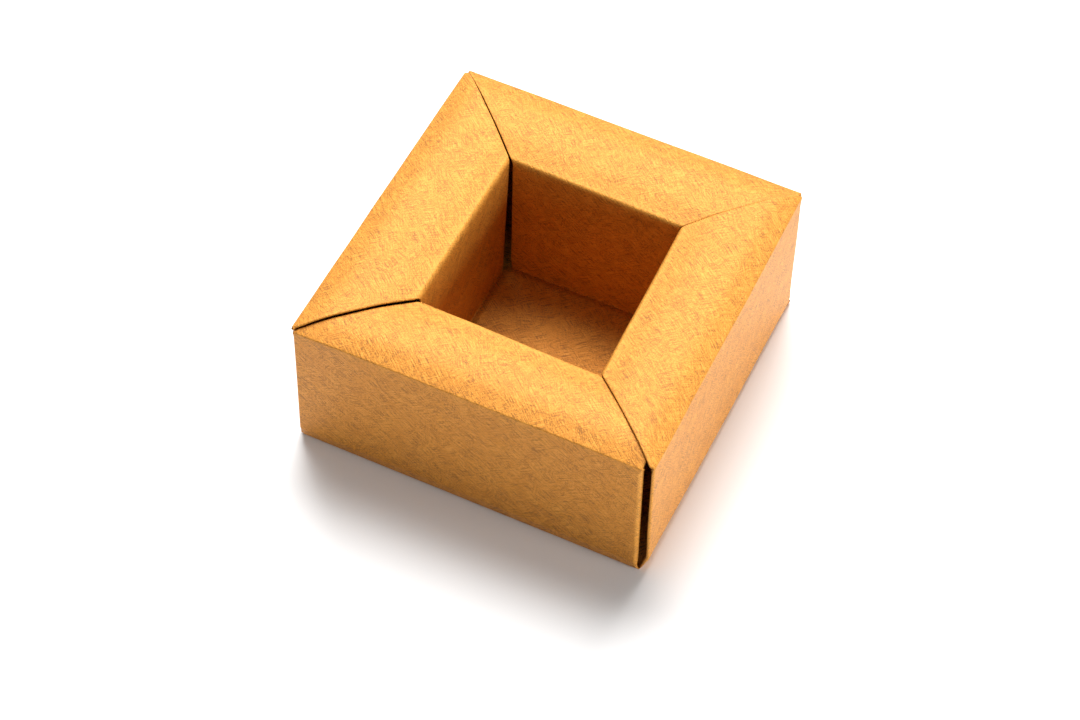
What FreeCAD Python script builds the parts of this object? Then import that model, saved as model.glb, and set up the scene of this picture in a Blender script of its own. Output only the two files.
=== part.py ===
import FreeCAD, Part
import math
import os

# An open masu box folded from one square sheet of stiff paper.
# The underside is the plain middle of the sheet. Each side runs up as an outer
# wall, folds inward over a broad rim, folds down again as the inner wall and ends
# as a flap on the floor, so the walls are hollow. The rims meet on mitred seams,
# and each upright corner is an open slit between two turned-in edges.
# Millimetres, +Z up, origin at the middle of the underside. The front is -Y.

# The box
box_side = 53.0            # between the bottom folds
wall_height = 24.4         # up to the outer top folds
rim_width = 12.6           # from the outer fold to the inner fold
sheet = 0.25               # thickness of the paper

# The folds, as radii of the side of the paper that shows
bottom_fold = 0.6
outer_fold = 0.45
inner_fold = 1.1
foot_fold = 0.35           # where the inner wall turns into the floor

# The rim springs up between its two folds
rim_arch = 0.95            # rise of its middle
arch_rise_at = 2.7         # from the outer fold to where the slope eases
arch_fall_at = 3.6         # from the inner fold to where it starts to drop
inner_fold_rise = 0.15     # the inner fold stands this much above the outer one
rise_bend = 6.0
fall_bend = 9.0

# The two side walls are folded last, over the spare paper of the corners, so they
# spring outward, most at their front ends, and their rims ride on the other two
right_bow_front = 1.3
left_bow_front = 0.7
bow_back = 0.45
bow_lean = 20.0            # degrees from upright, from the bottom fold to the full bow
bow_bend = 3.5
side_lift = 0.25           # how much higher the side rims lie
side_setback = 0.8         # how far the side walls stop short of the corners

# The corners
corner_fold = 0.45         # the front and back walls turn in round this radius
corner_return = 3.0        # how far the turned-in edges run
nose_inset = 0.01          # the round edge of a turned-in layer, inside its faces
seam_gap = 0.2             # between two rims along a mitre
slit_top = 0.35            # width of the inner corner slits under the rim
slit_foot = 1.2            # and at the floor

half = box_side / 2
bow_slope = math.tan(math.radians(bow_lean))
inner_half = half - rim_width
floor_top = 2 * sheet      # the flaps lie on the bottom
flap_run = foot_fold + 2 * sheet
nose = sheet - nose_inset
side_edge = half - side_setback - sheet
clear = box_side           # longer than anything a cut has to pass


def at_section(out, up):
    """A point of a section: how far out from the middle, and how high."""
    return FreeCAD.Vector(out, 0, up)


def at_wall(along, up):
    """A point of a side wall seen square on."""
    return FreeCAD.Vector(0, along, up)


def bent_wire(start, bends, end):
    """Straight runs joined by tangent arcs, as bent paper runs in section."""
    corners = [start] + [corner for corner, radius in bends] + [end]
    edges = []
    run_start = start
    for i, (corner, radius) in enumerate(bends):
        back = (corners[i] - corner).normalize()
        ahead = (corners[i + 2] - corner).normalize()
        turn = math.pi - back.getAngle(ahead)
        reach = radius * math.tan(turn / 2)
        inward = (back + ahead).normalize()
        arc_start = corner + back * reach
        arc_middle = corner + inward * (radius / math.cos(turn / 2) - radius)
        arc_end = corner + ahead * reach
        edges.append(Part.LineSegment(run_start, arc_start).toShape())
        edges.append(Part.Arc(arc_start, arc_middle, arc_end).toShape())
        run_start = arc_end
    edges.append(Part.LineSegment(run_start, end).toShape())
    return Part.Wire(edges)


def layer(wire, thickness):
    """The closed section of a layer whose shown side is the wire."""
    return wire.makeOffset2D(thickness, 0, True, True).Faces[0].OuterWire


def strip_section(bow, lift):
    """One side of the sheet, from the underside over the rim to the floor flap."""
    rim_top = wall_height + rim_arch + lift
    outer = half + bow
    bends = [(at_section(half, 0), bottom_fold)]
    if bow:
        bends.append((at_section(outer, bow / bow_slope), bow_bend))
    bends += [
        (at_section(outer, wall_height + lift), outer_fold),
        (at_section(outer - arch_rise_at, rim_top), rise_bend),
        (at_section(inner_half + arch_fall_at, rim_top), fall_bend),
        (at_section(inner_half, wall_height + inner_fold_rise + lift), inner_fold),
        (at_section(inner_half, floor_top), foot_fold),
    ]
    start = at_section(inner_half, 0)
    end = at_section(inner_half - flap_run, floor_top)
    return layer(bent_wire(start, bends, end), sheet)


def mitred():
    """The room of one strip: a wedge from the middle of the box, less half a seam."""
    apex = seam_gap / math.sqrt(2)
    plan = Part.makePolygon([
        FreeCAD.Vector(apex, 0, 0),
        FreeCAD.Vector(apex + clear, -clear, 0),
        FreeCAD.Vector(apex + clear, clear, 0),
        FreeCAD.Vector(apex, 0, 0),
    ])
    return Part.Face(plan).extrude(FreeCAD.Vector(0, 0, clear))


def moved(shape, x=0, y=0, z=0):
    return shape.translated(FreeCAD.Vector(x, y, z))


def turned(shape, quarter_turns):
    return shape.rotated(FreeCAD.Vector(0, 0, 0), FreeCAD.Vector(0, 0, 1), 90 * quarter_turns)


def end_wall_strip():
    """The front or back strip, made on the +X side: straight, then mitred."""
    face = Part.Face(strip_section(0, 0))
    straight = moved(face, y=-half).extrude(FreeCAD.Vector(0, box_side, 0))
    return straight.common(mitred())


def end_wall_return():
    """The upright edge of a front or back wall, turned in at one corner."""
    start = FreeCAD.Vector(half, corner_return, 0)
    corner = FreeCAD.Vector(half, 0, 0)
    end = FreeCAD.Vector(half - corner_return - corner_fold, 0, 0)
    plan = layer(bent_wire(start, [(corner, corner_fold)], end), sheet)
    height = wall_height - outer_fold - bottom_fold
    upright = Part.Face(plan).extrude(FreeCAD.Vector(0, 0, height))
    return moved(upright, y=-half, z=bottom_fold)


def side_bow(front_bow, at):
    """How far a side wall stands out at a place along it, at its full height."""
    share = (at + half) / box_side
    return front_bow + (bow_back - front_bow) * share


def side_wall_room():
    """What the corner slits leave of a side wall, seen square on.

    Each slit has a round foot and a round head, and the rim reaches over it."""
    foot = bottom_fold
    head = wall_height - outer_fold
    rim_end = half - seam_gap
    foot_round = half - side_edge
    head_round = rim_end - side_edge
    diagonal = math.sqrt(0.5)

    def end_edges(sign):
        def spot(along, up):
            return FreeCAD.Vector(0, sign * along, up)

        foot_end = spot(side_edge, foot + foot_round)
        head_start = spot(side_edge, head - head_round)
        foot_middle = spot(half - foot_round * diagonal, foot + foot_round * (1 - diagonal))
        head_middle = spot(rim_end - head_round * diagonal, head - head_round * (1 - diagonal))
        return [
            Part.LineSegment(spot(half, -clear), spot(half, foot)).toShape(),
            Part.Arc(spot(half, foot), foot_middle, foot_end).toShape(),
            Part.LineSegment(foot_end, head_start).toShape(),
            Part.Arc(head_start, head_middle, spot(rim_end, head)).toShape(),
            Part.LineSegment(spot(rim_end, head), spot(rim_end, clear)).toShape(),
        ]

    below = Part.LineSegment(at_wall(-half, -clear), at_wall(half, -clear)).toShape()
    above = Part.LineSegment(at_wall(-rim_end, clear), at_wall(rim_end, clear)).toShape()
    outline = Part.sortEdges(end_edges(-1) + end_edges(1) + [below, above])[0]
    return Part.Face(Part.Wire(outline)).extrude(FreeCAD.Vector(clear, 0, 0))


def side_strip(front_bow):
    """A side strip, made on the right: bowed outward, mitred, and cut back at its ends."""
    ends = [moved(strip_section(side_bow(front_bow, at), side_lift), y=at) for at in (-half, half)]
    skin = Part.makeLoft(ends, True, True)
    return skin.common(mitred()).common(side_wall_room())


def side_wall_return(front_bow, sign):
    """The upright edge of a side wall, folded flat against its hidden side."""
    edge = sign * side_edge
    bow = side_bow(front_bow, edge)
    low = bow / bow_slope + bow_bend * math.tan(math.radians(bow_lean) / 2)
    high = wall_height - outer_fold - (half - seam_gap - side_edge)
    middle = half + bow - sheet
    start = min(edge, edge - sign * corner_return)
    corner = FreeCAD.Vector(middle - sheet, start, low)
    doubled = Part.makeBox(3 * sheet / 2, corner_return, high - low, corner)
    rounded = Part.makeCylinder(nose, high - low, FreeCAD.Vector(middle, edge, low))
    return doubled.fuse(rounded)


def side_wall(front_bow):
    """A side strip with both of its folded edges."""
    returns = [side_wall_return(front_bow, sign) for sign in (-1, 1)]
    return [side_strip(front_bow)] + returns


def inner_slit():
    """The gap between two inner walls, which widens down to the floor."""
    corner = inner_half * math.sqrt(2)
    low = floor_top
    high = wall_height - inner_fold
    gap = Part.makePolygon([
        FreeCAD.Vector(corner - inner_fold, -slit_foot / 2, low),
        FreeCAD.Vector(corner - inner_fold, slit_foot / 2, low),
        FreeCAD.Vector(corner - inner_fold, slit_top / 2, high),
        FreeCAD.Vector(corner - inner_fold, -slit_top / 2, high),
        FreeCAD.Vector(corner - inner_fold, -slit_foot / 2, low),
    ])
    through = Part.Face(gap).extrude(FreeCAD.Vector(2 * inner_fold, 0, 0))
    return through.rotated(FreeCAD.Vector(0, 0, 0), FreeCAD.Vector(0, 0, 1), 45)


def plate(reach, thickness):
    corner = FreeCAD.Vector(-reach, -reach, 0)
    return Part.makeBox(2 * reach, 2 * reach, thickness, corner)


def mirrored(shape):
    return shape.mirror(FreeCAD.Vector(0, 0, 0), FreeCAD.Vector(1, 0, 0))


front_wall = turned(end_wall_strip(), -1)
front_returns = [end_wall_return(), mirrored(end_wall_return())]
back_wall = turned(front_wall, 2)
back_returns = [turned(shape, 2) for shape in front_returns]
right_wall = side_wall(right_bow_front)
left_wall = [mirrored(shape) for shape in side_wall(left_bow_front)]

bottom = plate(half - bottom_fold, sheet)
floor = plate(inner_half - foot_fold, floor_top)
pieces = [floor, front_wall, back_wall] + front_returns + back_returns + right_wall + left_wall
box = bottom.fuse(pieces)
box = box.cut([turned(inner_slit(), turns) for turns in range(4)])
box = box.removeSplitter()

os.makedirs("parts", exist_ok=True)
box.exportStep("parts/folded_box.step")
print("solids", len(box.Solids), "valid", box.isValid(), "volume", round(box.Volume, 1))
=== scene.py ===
import math

import bmesh
import bpy
from mathutils import Matrix, Vector, noise


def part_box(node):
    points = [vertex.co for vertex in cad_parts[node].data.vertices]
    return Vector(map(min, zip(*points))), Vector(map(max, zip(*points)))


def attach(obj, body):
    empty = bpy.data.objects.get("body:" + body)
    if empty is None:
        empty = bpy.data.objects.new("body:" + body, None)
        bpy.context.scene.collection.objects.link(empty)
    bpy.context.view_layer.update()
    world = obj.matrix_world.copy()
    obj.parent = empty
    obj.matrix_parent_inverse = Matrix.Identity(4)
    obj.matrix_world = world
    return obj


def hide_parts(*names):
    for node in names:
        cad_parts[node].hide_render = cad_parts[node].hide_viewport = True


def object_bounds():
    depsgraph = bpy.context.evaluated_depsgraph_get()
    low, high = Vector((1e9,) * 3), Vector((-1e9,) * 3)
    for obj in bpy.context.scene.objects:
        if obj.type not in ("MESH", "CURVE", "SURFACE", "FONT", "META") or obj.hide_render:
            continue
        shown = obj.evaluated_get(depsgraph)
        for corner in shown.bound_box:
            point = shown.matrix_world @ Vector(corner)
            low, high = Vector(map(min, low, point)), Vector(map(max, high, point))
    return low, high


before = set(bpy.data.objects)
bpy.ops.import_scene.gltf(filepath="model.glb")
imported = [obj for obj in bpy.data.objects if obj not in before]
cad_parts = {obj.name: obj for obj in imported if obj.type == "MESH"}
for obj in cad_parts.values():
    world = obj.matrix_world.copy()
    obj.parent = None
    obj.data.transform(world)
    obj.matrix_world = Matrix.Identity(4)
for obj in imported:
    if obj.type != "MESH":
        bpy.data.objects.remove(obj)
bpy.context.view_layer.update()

mm = 0.001
boxLow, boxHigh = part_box("folded_box")
half = boxHigh[1] / mm  # the bottom folds stand this far from the middle
rimTop = boxHigh[2] / mm  # top of the side rims, the highest there is
rightBow = boxHigh[0] / mm - half  # how far the side walls spring out at the front
leftBow = -boxLow[0] / mm - half
print("frame loaded, box", [round(float(v) / mm, 1) for v in boxHigh - boxLow], "mm")


# sRGB hex to the linear colour that a shader takes
def srgb(hexColour):
    parts = [int(hexColour[i:i + 2], 16) / 255 for i in (0, 2, 4)]
    return [c / 12.92 if c <= 0.04045 else ((c + 0.055) / 1.055) ** 2.4 for c in parts] + [1.0]


# adds one node, sets its properties and input values, and links inputs given as sockets
def addNode(tree, kind, settings=None, **inputs):
    node = tree.nodes.new(kind)
    for name, value in (settings or {}).items():
        setattr(node, name, value)
    for name, value in inputs.items():
        key = int(name[1:]) if name[0] == "i" and name[1:].isdigit() else name.replace("_", " ")
        socket = node.inputs[key]
        if isinstance(value, bpy.types.NodeSocket):
            tree.links.new(value, socket)
        else:
            socket.default_value = value
    return node


def smooth(x):
    x = min(max(x, 0.0), 1.0)
    return x * x * (3 - 2 * x)


foldedSheet = {
    "paper": 0.25,  # mm, thickness
    "rimArch": 0.95,  # rise of the rim's middle above its outer fold
    "rimWidth": 12.6,
    "bottomFold": 0.6,  # fold radii of the side that shows
    "outerFold": 0.3,
    "innerFold": 0.7,
    "footFold": 0.06,
    "archRiseAt": 3.4,  # from the outer fold to where the rim's slope eases
    "archFallAt": 4.2,  # from the inner fold to where it starts to drop
    "riseBend": 11.0,
    "fallBend": 14.0,
    "innerRise": 0.15,  # the inner fold stands this much above the outer one
    "sideLift": 0.25,  # the side rims ride this much above the other two
    "bowLean": 0.4,  # mm out for each mm up, until the bow is full
    "bowBend": 2.0,
    "leastLean": 2.0,  # mm, how high the lean ends where the bow is slight
    "seamTurn": 0.16,  # radius of the edges that turn in at the seams
    "slitTurn": 0.25,  # and at the upright slits
    "slitFoot": 1.5,  # the end walls draw back from their slits over this height
    "slitHead": 1.6,  # below the outer fold, where a side wall's slit starts to close
    "slitClosing": 1.3,  # and the height in which it does
    "footTaper": 0.3,  # the inner walls narrow over this height above the floor
    "cornerAngle": 124.0,  # degrees, how far the front and back walls turn in
    "cornerRound": 0.35,  # mm, the bottom's corners are blunt
    "cornerFade": 2.0,  # up to this height
    "hemRun": 2.2,  # how far turned-in paper runs on inside
    "hemFrom": 0.35,  # the turned-in edges grow out of the bottom fold from here
    "hemGrowth": 1.2,  # over this height
    "sinkReach": 9.0,  # how far from its seam an end rim starts to dip
    "columns": 64,
    "edgeSteps": 10,  # extra columns at each end, for the turned-in edge
    "crowding": 0.35,  # 0 spaces the columns evenly, 1 draws them to the corners
    "floorSteps": 24,
    "floorRise": 0.02,  # mm, the floor lies this much above the feet of the inner walls
    "ripple": 0.08,  # mm, how uneven hand-folded paper lies
    "rippleLength": 11.0,
    "rippleSeed": 3.7,
    "rippleFrom": 0.4,  # the bottom lies flat, and the walls get uneven from here
    "rippleGrowth": 4.0,  # over this height
    "hemWearAndHighlight": 0.6,  # how rubbed the edges and the two top folds are; the same lightening also paints a highlight there
    "outerWearAndHighlight": 0.35,
    "innerWearAndHighlight": 0.7,
    "flatSpan": 220.0,  # mm of flat sheet across the texture space
}
wallHeight = rimTop - foldedSheet["rimArch"] - foldedSheet["sideLift"]
floorTop = 2 * foldedSheet["paper"]
innerFoot = half - foldedSheet["rimWidth"]  # the inner walls stand this far from the middle

# Each corner, in mm. The side and end rims stop this far short of the mitre between
# them, the end rim sinks this much under the side rim, and the inner walls part by
# the head at their top and the foot at the floor. The side wall, the side rim and the
# end wall stop this far short of the corner, and the end wall turns in by a roll.
cornerSeams = {
    "frontLeft": {"side": 0.1, "end": 0.1, "sink": 0.28, "head": 0.3, "foot": 0.8,
                  "sideBack": 0.45, "rimBack": 0.15, "endBack": -0.2, "roll": 0.3},
    "frontRight": {"side": 0.0, "end": -0.2, "sink": 0.18, "head": 0.3, "foot": 1.0,
                   "sideBack": 0.3, "rimBack": 0.3, "endBack": 0.45, "roll": 0.6},
    "backLeft": {"side": 0.22, "end": 0.2, "sink": 0.05, "head": 0.35, "foot": 1.1,
                 "sideBack": 0.5, "rimBack": 0.3, "endBack": 0.1, "roll": 0.35},
    "backRight": {"side": 0.09, "end": 0.08, "sink": 0.0, "head": 0.12, "foot": 0.9,
                  "sideBack": 0.6, "rimBack": 0.3, "endBack": 0.15, "roll": 0.35},
}

# The strips by quarter turns from the right side wall, each with the corners at the
# low and high end of its run. At each end the wall bows out by so much, and the inner
# fold stands back from the foot of the inner wall by the other value.
strips = [
    {"name": "rightStrip", "turn": 0, "side": True, "ends": ("frontRight", "backRight"),
     "bow": (rightBow - 0.05, 0.35), "back": (0.45, -0.4)},
    {"name": "backStrip", "turn": 1, "side": False, "ends": ("backRight", "backLeft"),
     "bow": (0.55, 0.65), "back": (-0.5, 0.1)},
    {"name": "leftStrip", "turn": 2, "side": True, "ends": ("backLeft", "frontLeft"),
     "bow": (0.3, leftBow), "back": (-0.6, -0.5)},
    {"name": "frontStrip", "turn": 3, "side": False, "ends": ("frontLeft", "frontRight"),
     "bow": (0.4, 0.35), "back": (0.3, 0.9)},
]
# the straight runs of a section, from the underside over the rim to the floor
underRun, leanRun, wallRun, riseRun, topRun, fallRun, innerRun, flapRun = range(8)
runSteps = [1, 3, 16, 3, 8, 3, 18, 1]  # steps along each run
foldSteps = [6, 5, 7, 6, 6, 8, 6]  # and round the fold at its end


# Straight runs joined by tangent arcs, cut into a fixed number of steps. Each row is
# (out, up, normal out, normal up, length along the sheet, run number, on a fold).
def foldedLine(corners, radii):
    rows = []
    length = 0.0
    start = Vector(corners[0])
    for i, radius in enumerate(radii):
        corner = Vector(corners[i + 1])
        back = (Vector(corners[i]) - corner).normalized()
        ahead = (Vector(corners[i + 2]) - corner).normalized()
        turn = math.pi - back.angle(ahead)
        reach = radius * math.tan(turn / 2)
        sense = 1 if back.x * ahead.y - back.y * ahead.x < 0 else -1
        arcStart = corner + back * reach
        normal = Vector((-back.y, back.x))
        run = (arcStart - start).length
        for k in range(runSteps[i]):
            share = k / runSteps[i]
            p = start.lerp(arcStart, share)
            rows.append((p.x, p.y, normal.x, normal.y, length + run * share, i, 0))
        length += run
        centre = arcStart - normal * radius * sense
        for k in range(foldSteps[i]):
            share = k / foldSteps[i]
            c, s = math.cos(sense * turn * share), math.sin(sense * turn * share)
            n = Vector((normal.x * c - normal.y * s, normal.x * s + normal.y * c))
            p = centre + n * radius * sense
            rows.append((p.x, p.y, n.x, n.y, length + radius * turn * share, i, 1))
        length += radius * turn
        start = corner + ahead * reach
    last = Vector(corners[-1])
    ahead = (last - start).normalized()
    run = (last - start).length
    for k in range(runSteps[-1] + 1):
        share = k / runSteps[-1]
        p = start.lerp(last, share)
        rows.append((p.x, p.y, ahead.y, -ahead.x, length + run * share, len(radii), 0))
    return rows


# How far a strip reaches along its wall at one point of its section: to the slits of
# the walls, or to the mitre, which runs from the inner corner to the outer one.
def stripReach(seam, isSide, own, other, out, up, run):
    if run >= innerRun:  # the inner walls part towards the floor
        rise = min(max((up - floorTop) / (wallHeight - floorTop), 0), 1)
        gap = seam["foot"] + (seam["head"] - seam["foot"]) * rise
        taper = max(floorTop + foldedSheet["footTaper"] - up, 0)
        return innerFoot + other["back"] * rise - gap * math.sqrt(0.5) - taper
    edge = half - seam["endBack"]
    if isSide:
        wallEnd = seam["sideBack"]
        foot = min(max(up - foldedSheet["bottomFold"], 0), wallEnd)
        head = smooth((up - wallHeight + foldedSheet["slitHead"]) / foldedSheet["slitClosing"])
        edge = half - math.sqrt(wallEnd ** 2 - (wallEnd - foot) ** 2)  # the slit has a round foot
        edge += (wallEnd - seam["rimBack"]) * head
    elif run <= leanRun:
        edge = half - seam["endBack"] * smooth(up / foldedSheet["slitFoot"])
    if run <= wallRun:
        return edge if run == wallRun or up > 0.3 else min(out, edge)
    ownInner, otherInner = innerFoot + own["back"], innerFoot + other["back"]
    slope = (half + other["bow"] - otherInner) / (half + own["bow"] - ownInner)
    mitre = otherInner + (out - ownInner) * slope
    return min(mitre - seam["side" if isSide else "end"] * math.sqrt(0.5), edge)


# The section of a strip where its wall bows out by so much, its rim stands so high and
# its inner fold stands back by so much.
def stripSection(bow, back, rimHeight, lift):
    sheet = foldedSheet
    leanTop = max(abs(bow) / sheet["bowLean"], sheet["leastLean"])
    corners = [
        (half - 2 * sheet["bottomFold"], 0),
        (half, 0),
        (half + bow, leanTop),
        (half + bow, wallHeight + lift),
        (half + bow - sheet["archRiseAt"], rimHeight),
        (innerFoot + back + sheet["archFallAt"], rimHeight),
        (innerFoot + back, wallHeight + sheet["innerRise"] + lift),
        (innerFoot, floorTop),
        (innerFoot - 3 * sheet["footFold"], floorTop),
    ]
    radii = [sheet[name] for name in (
        "bottomFold", "bowBend", "outerFold", "riseBend", "fallBend", "innerFold", "footFold")]
    return foldedLine(corners, radii)


turnedSteps = foldedSheet["edgeSteps"] - 2  # the last two steps run on straight


# The turned-in edge, as steps of (further along, into the hidden side, run of paper):
# a flat hem, or the turn of a front or back wall into its corner.
def turnedEdge(radius, hem):
    full = math.pi if hem else math.radians(foldedSheet["cornerAngle"])
    steps = []
    for k in range(1, turnedSteps + 1):
        turn = full * k / turnedSteps
        steps.append((radius * math.sin(turn), radius * (1 - math.cos(turn)), radius * turn))
    ahead, depth, length = steps[-1]
    for k in (1, 2):
        run = foldedSheet["hemRun"] * k / 2
        steps.append((ahead + run * math.cos(full), depth + run * math.sin(full), length + run))
    return steps


# How far the paper lies off its even shape at a place. Each strip has its own shift.
def rippleAt(place, shift):
    length, seed = foldedSheet["rippleLength"], foldedSheet["rippleSeed"] + shift
    spot = Vector((place.x / length, place.y / length, place.z / length + seed))
    return foldedSheet["ripple"] * noise.noise(spot)


# Rounds the corners of the box in plan at its foot, fading out upwards.
def bluntCorner(place):
    radius = foldedSheet["cornerRound"]
    over = Vector((abs(place.x) - half + radius, abs(place.y) - half + radius))
    if min(over) <= 0 or over.length <= radius:
        return place
    fade = 1 - smooth(place.z / foldedSheet["cornerFade"])
    pull = over.normalized() * (over.length - radius) * fade
    return place - Vector((math.copysign(pull.x, place.x), math.copysign(pull.y, place.y), 0))


# What a strip has at a share of its run: its bow and the place of its inner fold.
def stripAt(strip, share):
    return {name: strip[name][0] + (strip[name][1] - strip[name][0]) * share for name in ("bow", "back")}


# Builds one strip as rows of (position, place on the flat sheet, wear of the fold with its painted
# highlight).
def buildStrip(strip):
    sheet = foldedSheet
    isSide = strip["side"]
    order = strips.index(strip)
    seams = [cornerSeams[name] for name in strip["ends"]]
    others = [stripAt(strips[order - 1], 1), stripAt(strips[(order + 1) % 4], 0)]
    columns, edgeSteps = sheet["columns"], sheet["edgeSteps"]
    lift = sheet["sideLift"] if isSide else 0
    rimHeight = rimTop if isSide else rimTop - sheet["sideLift"]
    spin = Matrix.Rotation(strip["turn"] * math.pi / 2, 3, "Z")
    rows = None
    for column in range(-edgeSteps, columns + 1 + edgeSteps):
        t = 2 * min(max(column, 0), columns) / columns - 1
        t = math.sin(t * math.pi / 2) * sheet["crowding"] + t * (1 - sheet["crowding"])
        own = stripAt(strip, (1 + t) / 2)
        section = stripSection(own["bow"], own["back"], rimHeight, lift)
        if rows is None:
            rows = [[] for row in section]
        end = 0 if column < columns / 2 else 1
        sign = 1 if end else -1
        for r, (out, up, nOut, nUp, length, run, onFold) in enumerate(section):
            reach = stripReach(seams[end], isSide, stripAt(strip, end), others[end], out, up, run)
            grown = smooth((up - sheet["hemFrom"]) / sheet["hemGrowth"]) if run <= leanRun else 1.0
            onWall = run < wallRun or run == wallRun and not onFold
            endWall = onWall and not isSide  # its edges turn in, and all the others are hems
            turn = seams[end]["roll"] if endWall else sheet["slitTurn"] if onWall else sheet["seamTurn"]
            radius = turn * grown
            along = t * (reach - radius)
            ahead, depth, paperRun, wearAndHighlight = 0.0, 0.0, 0.0, 0.0
            past = -column if column < 0 else column - columns
            if past > 0:
                ahead, depth, paperRun = [v * grown for v in turnedEdge(radius, not endWall)[past - 1]]
                along = sign * (reach - radius)
                # turned edges get worn coat and a painted highlight
                wearAndHighlight = sheet["hemWearAndHighlight"] if past <= turnedSteps - 2 else 0.0
            # the end rims dip under the side rims at their seams
            if not isSide and (run in (riseRun, topRun, fallRun) or run == wallRun and onFold):
                nearSeam = 1 - smooth((reach - abs(along)) / sheet["sinkReach"])
                up -= seams[end]["sink"] * nearSeam
            out -= nOut * depth
            up -= nUp * depth
            along += sign * ahead
            place = spin @ Vector((out, along, up))
            if run >= leanRun and up > sheet["rippleFrom"]:
                # only ever inward, so that the box keeps its size
                uneven = rippleAt(place, strip["turn"]) - sheet["ripple"]
                growth = smooth(up / sheet["rippleGrowth"]) * (0.5 if run >= innerRun else 1)
                place += (spin @ Vector((nOut, 0, nUp))) * uneven * growth
            place = bluntCorner(place)
            flatAlong = along - sign * ahead + sign * paperRun
            flat = spin @ Vector((half - 2 * sheet["bottomFold"] + length, flatAlong, 0))
            # the two top folds get worn coat and a painted highlight
            if onFold and run == wallRun:
                wearAndHighlight = max(wearAndHighlight, sheet["outerWearAndHighlight"])
            if onFold and run == fallRun:
                wearAndHighlight = max(wearAndHighlight, sheet["innerWearAndHighlight"])
            rows[r].append((place, flat, wearAndHighlight))
    return rows


def buildFoldedBox():
    sheet = foldedSheet
    shell = bmesh.new()
    flatLayer = shell.loops.layers.uv.new("flatSheet")
    # wear of the folds and edges, which also carries their painted highlight
    wearHighlightLayer = shell.verts.layers.float.new("foldWearAndHighlight")

    def addGrid(grid, flip):
        made = []
        for line in grid:
            row = []
            for place, flat, wearAndHighlight in line:
                vert = shell.verts.new(place * mm)
                vert[wearHighlightLayer] = wearAndHighlight
                row.append((vert, flat))
            made.append(row)
        for low, high in zip(made, made[1:]):
            for k in range(len(low) - 1):
                corners = [low[k], low[k + 1], high[k + 1], high[k]]
                if flip:
                    corners.reverse()
                face = shell.faces.new([c[0] for c in corners])
                face.smooth = True
                for loop, (vert, flat) in zip(face.loops, corners):
                    loop[flatLayer].uv = [0.5 + side / sheet["flatSpan"] for side in flat.xy]

    stripRows = [buildStrip(strip) for strip in strips]
    for rows in stripRows:
        addGrid(rows, False)

    # the plain bottom, on the same columns as the strips that leave it
    edgeSteps, columns = sheet["edgeSteps"], sheet["columns"]
    spots = [entry[0].y for entry in stripRows[0][0][edgeSteps:edgeSteps + columns + 1]]
    bottom = [[(Vector((x, y, 0)), Vector((x, y, 0)), 0.0) for x in spots] for y in spots]
    addGrid(bottom, True)
    bmesh.ops.remove_doubles(shell, verts=shell.verts, dist=0.003 * mm)

    # the flaps meet on the floor as one plain sheet
    inner = innerFoot - 2 * sheet["footFold"]
    cuts = sheet["floorSteps"]
    level = floorTop + sheet["floorRise"]
    spots = [inner * (2 * k / cuts - 1) for k in range(cuts + 1)]
    floor = [[(Vector((x, y, level)), Vector((x + 90, y + 90, 0)), 0.0) for x in spots] for y in spots]
    addGrid(floor, False)

    mesh = bpy.data.meshes.new("foldedBox")
    shell.to_mesh(mesh)
    shell.free()
    box = bpy.data.objects.new("foldedBox", mesh)
    bpy.context.scene.collection.objects.link(box)
    thickness = box.modifiers.new("paperThickness", "SOLIDIFY")
    thickness.thickness = sheet["paper"] * mm
    thickness.offset = -1
    return box


foldedBox = buildFoldedBox()
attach(foldedBox, "root")
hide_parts("folded_box")
print("sheet folded,", len(foldedBox.data.polygons), "faces")


# Pearl paper: dyed-through card with a thin coat of coppery mica over a felt of short
# stray fibres. The coat turns golden where it faces the light above and stays brown
# where it faces the dimmer room, and it goes pale at a glancing view.
pearlPaper = {
    "copper": "D08A29",
    "shade": "C98227",
    "strokeLight": "F2B956",
    "strokeDark": "84561C",
    "metallic": 0.5,
    "roughness": 0.68,
    "strokeLength": 2.7,  # mm
    "strokeWidth": 0.12,
    "strokePatch": 5.0,
    "lightStrokes": 0.38,  # how far the strokes lighten and darken the paper at most
    "darkStrokes": 0.75,
    "reliefScale": 0.55,  # below 1 makes the strokes of the relief broader
    "reliefDepth": 0.016,  # mm
    "grain": 0.3,
    "specular": 0.25,
    "coat": 1.0,
    "coatRoughness": 0.55,
    "coatIor": 1.25,
}
# the felt roller leaves strokes at many angles, each given as (degrees, strength)
strokeSets = [(-40, 0.9), (-24, 0.6), (-58, 0.6), (36, 0.75), (60, 0.45), (6, 0.5), (84, 0.45)]
reliefSets = [(-40, 0.9), (-27, 0.6), (-60, 0.5), (38, 0.6), (5, 0.4)]


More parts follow.
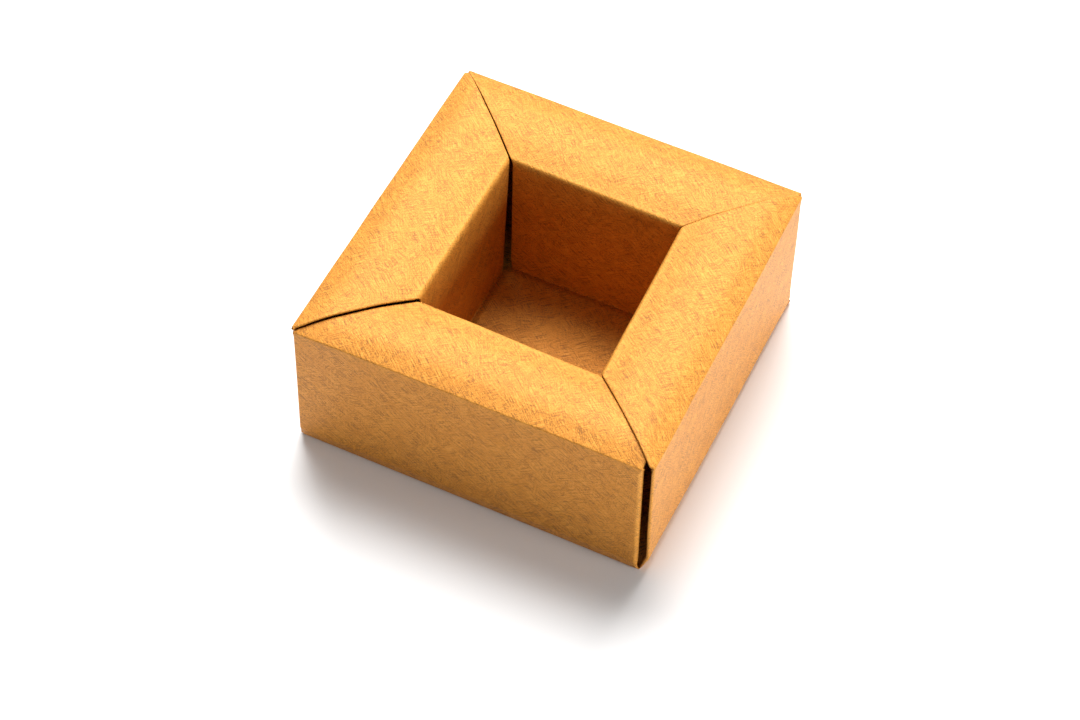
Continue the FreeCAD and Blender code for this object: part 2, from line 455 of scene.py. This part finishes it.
# One set of strokes: fine grooves, all at one angle, that come and go in patches.
def feltStrokeGroup():
    paper = pearlPaper
    group = bpy.data.node_groups.new("feltStrokes", "ShaderNodeTree")
    group.interface.new_socket("Place", in_out="INPUT", socket_type="NodeSocketVector")
    group.interface.new_socket("Angle", in_out="INPUT", socket_type="NodeSocketFloat")
    group.interface.new_socket("Shift", in_out="INPUT", socket_type="NodeSocketVector")
    group.interface.new_socket("Mark", in_out="OUTPUT", socket_type="NodeSocketFloat")
    inside = addNode(group, "NodeGroupInput")
    moved = addNode(group, "ShaderNodeVectorMath", {"operation": "ADD"},
                    i0=inside.outputs["Place"], i1=inside.outputs["Shift"])
    spun = addNode(group, "ShaderNodeVectorRotate", {"rotation_type": "Z_AXIS"},
                   Vector=moved.outputs[0], Angle=inside.outputs["Angle"])
    drawn = addNode(group, "ShaderNodeVectorMath", {"operation": "MULTIPLY"}, i0=spun.outputs[0],
                    i1=(1 / paper["strokeLength"], 1 / paper["strokeWidth"], 0.0))
    grooves = addNode(group, "ShaderNodeTexNoise", {"noise_dimensions": "2D"},
                      Vector=drawn.outputs[0], Scale=1.0, Detail=1.0, Roughness=0.5)
    patches = addNode(group, "ShaderNodeTexNoise", {"noise_dimensions": "2D"},
                      Vector=moved.outputs[0], Scale=1 / paper["strokePatch"], Detail=1.0)
    patch = addNode(group, "ShaderNodeMapRange", None, Value=patches.outputs[0],
                    From_Min=0.35, From_Max=0.65, To_Min=0.4, To_Max=1.0)
    ridges = addNode(group, "ShaderNodeMapRange", None, Value=grooves.outputs[0],
                     From_Min=0.55, From_Max=0.72, To_Min=0.0, To_Max=1.0)
    dents = addNode(group, "ShaderNodeMapRange", None, Value=grooves.outputs[0],
                    From_Min=0.3, From_Max=0.43, To_Min=-1.0, To_Max=0.0)
    both = addNode(group, "ShaderNodeMath", {"operation": "ADD"}, i0=ridges.outputs[0], i1=dents.outputs[0])
    mark = addNode(group, "ShaderNodeMath", {"operation": "MULTIPLY"},
                   i0=both.outputs[0], i1=patch.outputs[0])
    outside = addNode(group, "NodeGroupOutput")
    group.links.new(mark.outputs[0], outside.inputs["Mark"])
    return group


# Lays sets of strokes over each other.
def strokeSum(tree, group, place, sets, shift):
    total = 0.0
    for k, (turn, strength) in enumerate(sets):
        mark = addNode(tree, "ShaderNodeGroup", {"node_tree": group}, Place=place, Angle=math.radians(turn),
                       Shift=(37.3 * k + shift, 71.9 * k - 13.7, 0.0)).outputs["Mark"]
        total = addNode(tree, "ShaderNodeMath", {"operation": "MULTIPLY_ADD"},
                        i0=mark, i1=strength, i2=total).outputs[0]
    return total


def makePearlPaper():
    paper = pearlPaper
    material = bpy.data.materials.new("pearlCopperPaper")
    material.use_nodes = True
    tree = material.node_tree
    tree.nodes.clear()
    strokes = feltStrokeGroup()
    flat = addNode(tree, "ShaderNodeUVMap", {"uv_map": "flatSheet"})
    place = addNode(tree, "ShaderNodeVectorMath", {"operation": "SCALE"},
                    Vector=flat.outputs[0], Scale=foldedSheet["flatSpan"])  # mm on the flat sheet
    drift = addNode(tree, "ShaderNodeTexNoise", {"noise_dimensions": "2D"},
                    Vector=place.outputs[0], Scale=0.22, Detail=3.0)

    total = strokeSum(tree, strokes, place.outputs[0], strokeSets, 5.1)

    # broader strokes stand up as relief, and show where light rakes over the paper
    broad = addNode(tree, "ShaderNodeVectorMath", {"operation": "SCALE"},
                    Vector=place.outputs[0], Scale=paper["reliefScale"])
    ridges = strokeSum(tree, strokes, broad.outputs[0], reliefSets, 211.7)

    grain = addNode(tree, "ShaderNodeTexNoise", {"noise_dimensions": "2D"},
                    Vector=place.outputs[0], Scale=3.4, Detail=4.0, Roughness=0.7)
    light = addNode(tree, "ShaderNodeMapRange", None, Value=total,
                    From_Min=0.0, From_Max=1.1, To_Min=0.0, To_Max=paper["lightStrokes"])
    dark = addNode(tree, "ShaderNodeMapRange", None, Value=total,
                   From_Min=-0.9, From_Max=0.0, To_Min=paper["darkStrokes"], To_Max=0.0)
    body = addNode(tree, "ShaderNodeMix", {"data_type": "RGBA"}, i0=drift.outputs[0],
                   i6=srgb(paper["shade"]), i7=srgb(paper["copper"]))
    lit = addNode(tree, "ShaderNodeMix", {"data_type": "RGBA"}, i0=light.outputs[0],
                  i6=body.outputs[2], i7=srgb(paper["strokeLight"]))
    felted = addNode(tree, "ShaderNodeMix", {"data_type": "RGBA"}, i0=dark.outputs[0],
                     i6=lit.outputs[2], i7=srgb(paper["strokeDark"]))

    # the coat is rubbed thin on the folds and turned edges, and the same lightening paints a highlight
    # along them
    wearAndHighlight = addNode(tree, "ShaderNodeAttribute", {"attribute_name": "foldWearAndHighlight"})
    rubAndHighlight = addNode(tree, "ShaderNodeMapRange", None, Value=grain.outputs[0],
                  From_Min=0.35, From_Max=0.7, To_Min=0.0, To_Max=0.6)
    rubbedAndHighlit = addNode(tree, "ShaderNodeMath", {"operation": "MULTIPLY"},
                     i0=wearAndHighlight.outputs["Fac"], i1=rubAndHighlight.outputs[0])
    colour = addNode(tree, "ShaderNodeMix", {"data_type": "RGBA"}, i0=rubbedAndHighlit.outputs[0],
                     i6=felted.outputs[2], i7=srgb(paper["strokeLight"]))

    rough = addNode(tree, "ShaderNodeMapRange", None, Value=grain.outputs[0], From_Min=0.3, From_Max=0.7,
                    To_Min=paper["roughness"] - 0.05, To_Max=paper["roughness"] + 0.07)
    relief = addNode(tree, "ShaderNodeMath", {"operation": "MULTIPLY_ADD"},
                     i0=grain.outputs[0], i1=paper["grain"], i2=ridges)
    bump = addNode(tree, "ShaderNodeBump", None, Strength=1.0, Distance=paper["reliefDepth"] * mm,
                   Height=relief.outputs[0])
    shader = addNode(tree, "ShaderNodeBsdfPrincipled", None, Base_Color=colour.outputs[2],
                     Metallic=paper["metallic"], Roughness=rough.outputs[0], Normal=bump.outputs[0],
                     Specular_IOR_Level=paper["specular"], Coat_Weight=paper["coat"],
                     Coat_Roughness=paper["coatRoughness"], Coat_IOR=paper["coatIor"])
    out = addNode(tree, "ShaderNodeOutputMaterial")
    tree.links.new(shader.outputs[0], out.inputs["Surface"])
    return material


foldedBox.data.materials.append(makePearlPaper())
print("pearl paper laid on")


tableTop = {"width": 4000.0, "darkest": 0.9, "palest": 0.93}


def makeTableTop():
    material = bpy.data.materials.new("matteWhiteBoard")
    material.use_nodes = True
    tree = material.node_tree
    tree.nodes.clear()
    spots = addNode(tree, "ShaderNodeTexCoord")
    tone = addNode(tree, "ShaderNodeTexNoise", None, Vector=spots.outputs["Object"], Scale=3.0)
    faint = addNode(tree, "ShaderNodeMapRange", None, Value=tone.outputs[0],
                    To_Min=tableTop["darkest"], To_Max=tableTop["palest"])
    board = addNode(tree, "ShaderNodeBsdfDiffuse", None, Color=faint.outputs[0])
    out = addNode(tree, "ShaderNodeOutputMaterial")
    tree.links.new(board.outputs[0], out.inputs["Surface"])
    mesh = bpy.data.meshes.new("tableTop")
    reach = tableTop["width"] / 2 * mm
    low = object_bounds()[0][2]
    corners = [(-reach, -reach, low), (reach, -reach, low), (reach, reach, low), (-reach, reach, low)]
    mesh.from_pydata(corners, [], [(0, 1, 2, 3)])
    top = bpy.data.objects.new("tableTop", mesh)
    bpy.context.scene.collection.objects.link(top)
    mesh.materials.append(material)


makeTableTop()

# each light: where it stands round the box (degrees from the front, to the right, and
# up), how far off, how large and how strong
studioLights = {
    "keySoftbox": {"turn": 202, "rise": 58, "away": 900, "size": 600, "power": 16.2, "colour": "FFFFFF"},
    "sideSoftbox": {"turn": 84, "rise": 8, "away": 900, "size": 400, "power": 7.4, "colour": "FFFFFF"},
}
room = {"level": 0.23}


def setLights():
    for name, light in studioLights.items():
        data = bpy.data.lights.new(name, "AREA")
        data.shape = "SQUARE"
        data.size = light["size"] * mm
        data.energy = light["power"]
        data.color = srgb(light["colour"])[:3]
        lamp = bpy.data.objects.new(name, data)
        turn, rise = math.radians(light["turn"]), math.radians(light["rise"])
        way = Vector((math.sin(turn) * math.cos(rise), -math.cos(turn) * math.cos(rise), math.sin(rise)))
        lamp.location = way * light["away"] * mm
        lamp.rotation_euler = way.to_track_quat("Z", "Y").to_euler()
        bpy.context.scene.collection.objects.link(lamp)
    world = bpy.data.worlds.new("whiteRoom")
    bpy.context.scene.world = world
    world.use_nodes = True
    tree = world.node_tree
    tree.nodes.clear()
    paths = addNode(tree, "ShaderNodeLightPath")
    level = addNode(tree, "ShaderNodeMix", {"data_type": "FLOAT"},
                    i0=paths.outputs["Is Camera Ray"], i2=room["level"], i3=1.0)
    glow = addNode(tree, "ShaderNodeBackground", None, Color=(1, 1, 1, 1), Strength=level.outputs[0])
    out = addNode(tree, "ShaderNodeOutputWorld")
    tree.links.new(glow.outputs[0], out.inputs["Surface"])


setLights()

# the camera, as degrees round from the front and up, with its roll, and mm
photoView = {
    "turn": 24.78,
    "rise": 52.83,
    "roll": 1.18,
    "away": 484.7,
    "aside": 1.415,
    "above": -1.0,
    "lens": 111.2,
}


def setCamera():
    view = photoView
    turn, rise, roll = (math.radians(view[name]) for name in ("turn", "rise", "roll"))
    back = Vector((math.sin(turn) * math.cos(rise), -math.cos(turn) * math.cos(rise), math.sin(rise)))
    right = Vector((math.cos(turn), math.sin(turn), 0))
    up = back.cross(right)
    across = right * math.cos(roll) + up * math.sin(roll)
    upward = up * math.cos(roll) - right * math.sin(roll)
    data = bpy.data.cameras.new("photoCamera")
    data.lens = view["lens"]
    data.sensor_width = 36.0
    data.clip_start = 0.01
    data.clip_end = 20.0
    camera = bpy.data.objects.new("photoCamera", data)
    place = (back * view["away"] - across * view["aside"] - upward * view["above"]) * mm
    facing = Matrix((across, upward, back)).transposed().to_4x4()
    camera.matrix_world = Matrix.Translation(place) @ facing
    bpy.context.scene.collection.objects.link(camera)
    bpy.context.scene.camera = camera


setCamera()
bpy.context.scene.view_settings.view_transform = "Standard"
print("lights and camera set")
